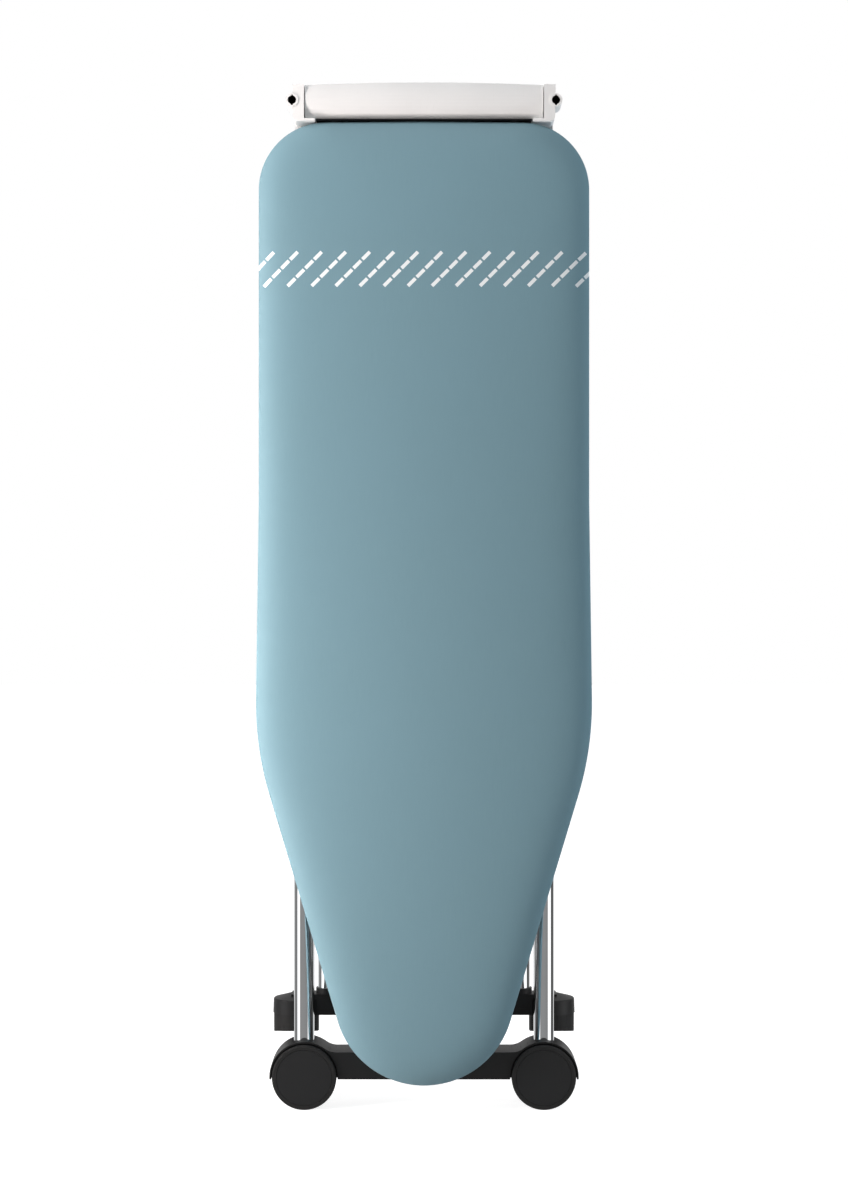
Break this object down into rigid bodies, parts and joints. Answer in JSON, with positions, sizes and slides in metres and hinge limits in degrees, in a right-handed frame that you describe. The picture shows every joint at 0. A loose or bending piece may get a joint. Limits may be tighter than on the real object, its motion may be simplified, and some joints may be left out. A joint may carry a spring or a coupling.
{
  "type": "ironing board",
  "caption": "Folding ironing board stored on end: padded tapered top, crossed chrome legs on sliding runners, transport wheels and a pull-out rest.",
  "frame": {"origin": "on the floor, in the middle of the folded part's width and depth", "axes": "+Z along the board from the nose to the wide end, +X across the board, -Y the ironing face"},
  "size_m": [0.42, 0.1479, 1.2832],
  "materials": {
    "perforated_plate": "galvanised sheet",
    "frame_steel": "silver powder coat",
    "bracket_steel": "dark powder coat",
    "padding": "felt over foam",
    "cover_cloth": "plain woven cotton",
    "bright_steel": "zinc plated",
    "white_plastic": "moulded, satin",
    "black_plastic": "moulded, fine grain",
    "grey_plastic": "moulded",
    "chrome_tube": "polished chrome plate",
    "black_rubber": "moulded",
    "wheel_plastic": "moulded, satin",
    "black_paint": "satin powder coat"
  },
  "bodies": {
    "board": {"deck_plate": "perforated_plate", "deck_rim": "frame_steel", "pad": "padding", "cover": "cover_cloth", "rail_left": "frame_steel", "rail_right": "frame_steel", "cross_upper": "frame_steel", "cross_lower": "frame_steel", "bracket_a_left": "bracket_steel", "bracket_a_right": "bracket_steel", "axle_a": "bright_steel", "bracket_b_left": "bracket_steel", "bracket_b_right": "bracket_steel", "bushes_b": "grey_plastic", "tail_panel": "black_plastic", "end_cap_left": "white_plastic", "end_cap_right": "white_plastic", "rod_guides": "grey_plastic", "lever_bracket": "bracket_steel", "release_pins": "bright_steel", "lever_spring": "bright_steel", "pawl_bracket": "bracket_steel", "deck_screws": "bright_steel"},
    "rest": {"rest_bar": "white_plastic", "rest_rod_left": "bright_steel", "rest_rod_right": "bright_steel", "rest_wires": "bright_steel", "rest_collars": "grey_plastic"},
    "lever": {"release_lever": "black_plastic"},
    "link": {"link_rod": "bright_steel"},
    "pawl": {"pawl": "bracket_steel"},
    "outer_leg": {"leg_a_tube_left": "chrome_tube", "leg_a_tube_right": "chrome_tube", "leg_a_plugs": "black_plastic", "foot_beam": "black_plastic", "heel_left": "black_rubber", "heel_right": "black_rubber", "wheel_pin_left": "bright_steel", "wheel_pin_right": "bright_steel", "foot_screws": "bright_steel"},
    "wheel_left": {"wheel_hub_left": "wheel_plastic", "wheel_tread_left": "black_rubber"},
    "wheel_right": {"wheel_hub_right": "wheel_plastic", "wheel_tread_right": "black_rubber"},
    "inner_leg": {"leg_b_tube_left": "chrome_tube", "leg_b_tube_right": "chrome_tube", "leg_b_plugs": "black_plastic", "leg_b_cross_tube": "bracket_steel", "height_quadrant": "bracket_steel", "rear_beam": "black_paint", "foot_cap_left": "black_plastic", "foot_cap_right": "black_plastic", "foot_pad_left": "black_rubber", "foot_pad_right": "black_rubber", "leg_b_collars": "black_plastic", "runner_pin_left": "bright_steel", "runner_pin_right": "bright_steel"},
    "runners": {"runner_left": "black_plastic", "runner_right": "black_plastic"}
  },
  "joints": [
    {"name": "outer_leg_fold", "type": "hinge", "parent": "board", "child": "outer_leg", "pos_m": [0, -0.006, 1.125], "axis": [1, 0, 0], "range_deg": [0, 50]},
    {"name": "inner_leg_fold", "type": "hinge", "parent": "board", "child": "inner_leg", "pos_m": [0, 0.044, 0.93], "axis": [1, 0, 0], "range_deg": [0, 100]},
    {"name": "runner_turn", "type": "hinge", "parent": "inner_leg", "child": "runners", "pos_m": [0, -0.006, 0.735], "axis": [1, 0, 0], "range_deg": [-50, 0]},
    {"name": "wheel_left_spin", "type": "hinge", "parent": "outer_leg", "child": "wheel_left", "pos_m": [-0.1505, -0.037, 0.0405], "axis": [0, 1, 0], "continuous": true},
    {"name": "wheel_right_spin", "type": "hinge", "parent": "outer_leg", "child": "wheel_right", "pos_m": [0.1505, -0.037, 0.0405], "axis": [0, 1, 0], "continuous": true},
    {"name": "rest_slide", "type": "slide", "parent": "board", "child": "rest", "axis": [0, 0, 1], "range_m": [0, 0.25]},
    {"name": "lever_squeeze", "type": "hinge", "parent": "board", "child": "lever", "pos_m": [0, -0.001, 1.187], "axis": [1, 0, 0], "range_deg": [0, 12], "stiffness_Nm_per_rad": 0.4, "springref_deg": -11.46},
    {"name": "link_swing", "type": "hinge", "parent": "lever", "child": "link", "pos_m": [0, -0.017, 1.187], "axis": [1, 0, 0], "range_deg": [-12, 0]},
    {"name": "pawl_lift", "type": "hinge", "parent": "board", "child": "pawl", "pos_m": [0, -0.001, 0.9701], "axis": [1, 0, 0], "range_deg": [0, 12]}
  ],
  "couplings": [
    {"joint": "inner_leg_fold", "follows": "outer_leg_fold", "ratio": 2},
    {"joint": "runner_turn", "follows": "outer_leg_fold", "ratio": -1},
    {"joint": "link_swing", "follows": "lever_squeeze", "ratio": -1},
    {"joint": "pawl_lift", "follows": "lever_squeeze", "ratio": 1}
  ]
}
